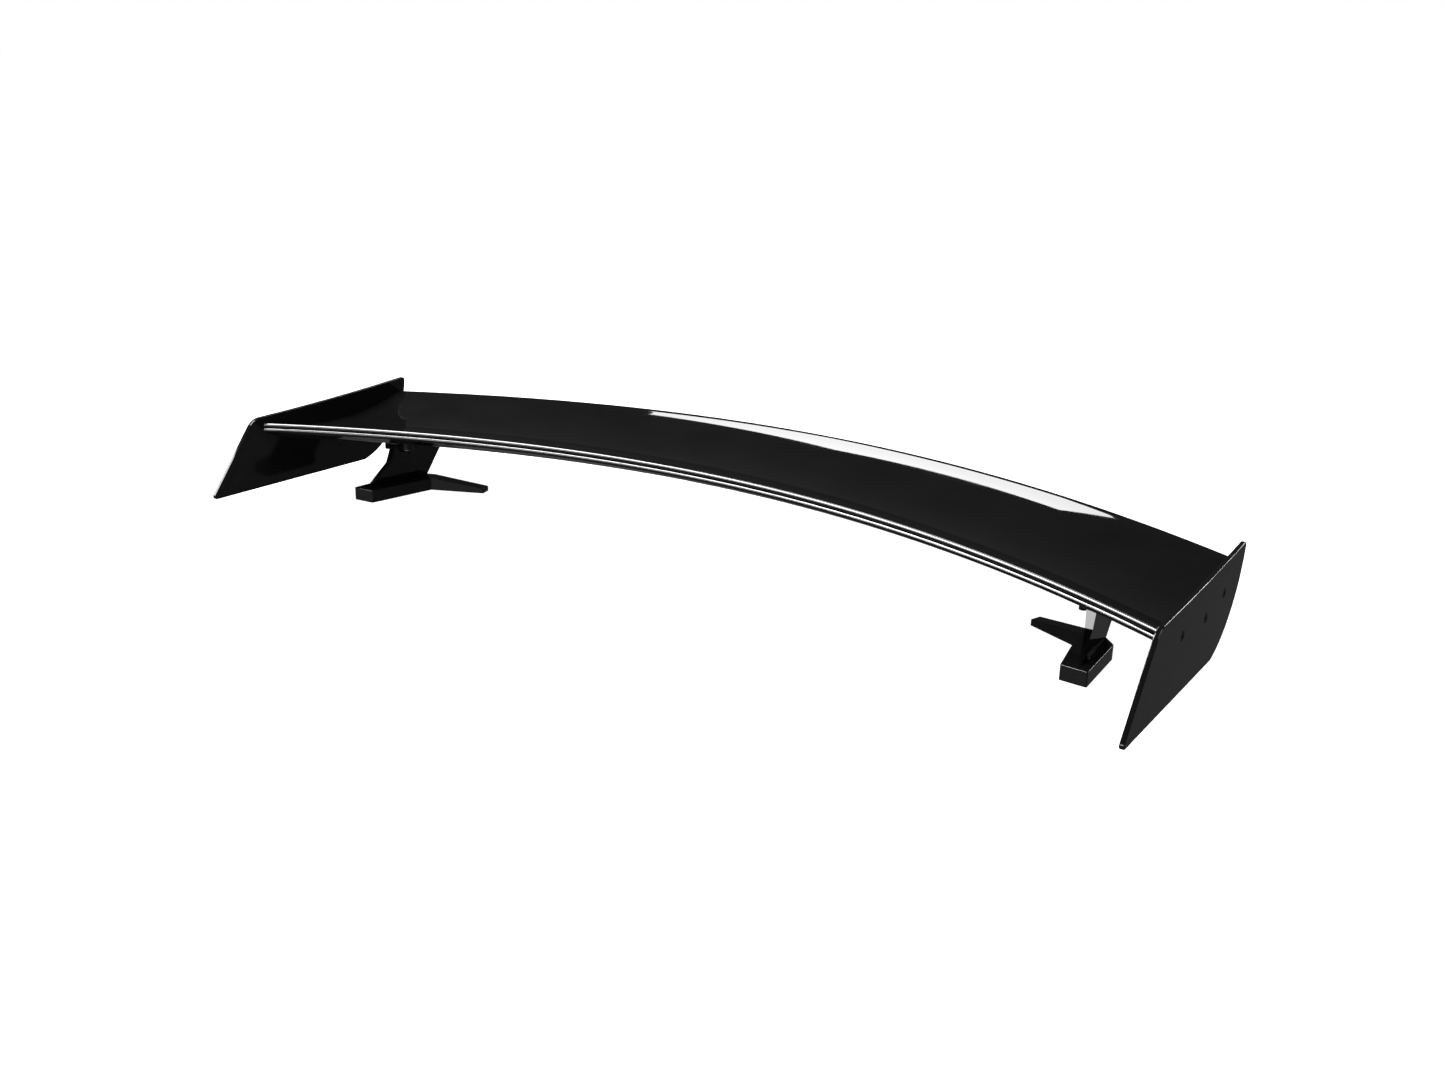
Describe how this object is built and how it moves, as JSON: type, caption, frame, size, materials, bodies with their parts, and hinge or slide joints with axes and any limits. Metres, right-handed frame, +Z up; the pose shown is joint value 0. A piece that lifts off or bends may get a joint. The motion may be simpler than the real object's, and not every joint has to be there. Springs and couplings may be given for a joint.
{
  "type": "rear wing",
  "caption": "Gloss black swept rear wing: hollow blade bowed back between two swept endplates, on two short uprights with L-shaped feet that bolt to a boot lid.",
  "frame": {"origin": "centre of the rectangle of four screws in the boxes of the two feet, at the face that rests on the boot lid", "axes": "+X along the span, +Y to the rear of the car, +Z up"},
  "size_m": [1.4, 0.5733, 0.1456],
  "materials": {
    "blade_plastic": "gloss",
    "plate_plastic": "gloss",
    "stand_plastic": "gloss",
    "inner_plastic": "moulded",
    "rubber": "matt",
    "brass": "knurled",
    "black_steel": "black oxide",
    "washer_steel": "plain"
  },
  "bodies": {
    "root": {"blade_lower_skin": "blade_plastic", "blade_upper_skin": "blade_plastic", "end_rib_inserts": "brass", "end_rib_left": "inner_plastic", "end_rib_right": "inner_plastic", "endplate_left": "plate_plastic", "endplate_right": "plate_plastic", "endplate_screws": "black_steel", "foot_gasket_left": "rubber", "foot_gasket_right": "rubber", "foot_inserts": "brass", "foot_left": "stand_plastic", "foot_right": "stand_plastic", "foot_screws": "black_steel", "middle_rib_1": "inner_plastic", "middle_rib_2": "inner_plastic", "middle_rib_3": "inner_plastic", "middle_rib_4": "inner_plastic", "middle_rib_5": "inner_plastic", "mount_block_inserts": "brass", "mount_block_left": "inner_plastic", "mount_block_right": "inner_plastic", "saddle_pad_left": "rubber", "saddle_pad_right": "rubber", "saddle_screws": "black_steel", "saddle_washers": "washer_steel", "upright_inserts": "brass", "upright_left": "stand_plastic", "upright_right": "stand_plastic"}
  },
  "joints": []
}
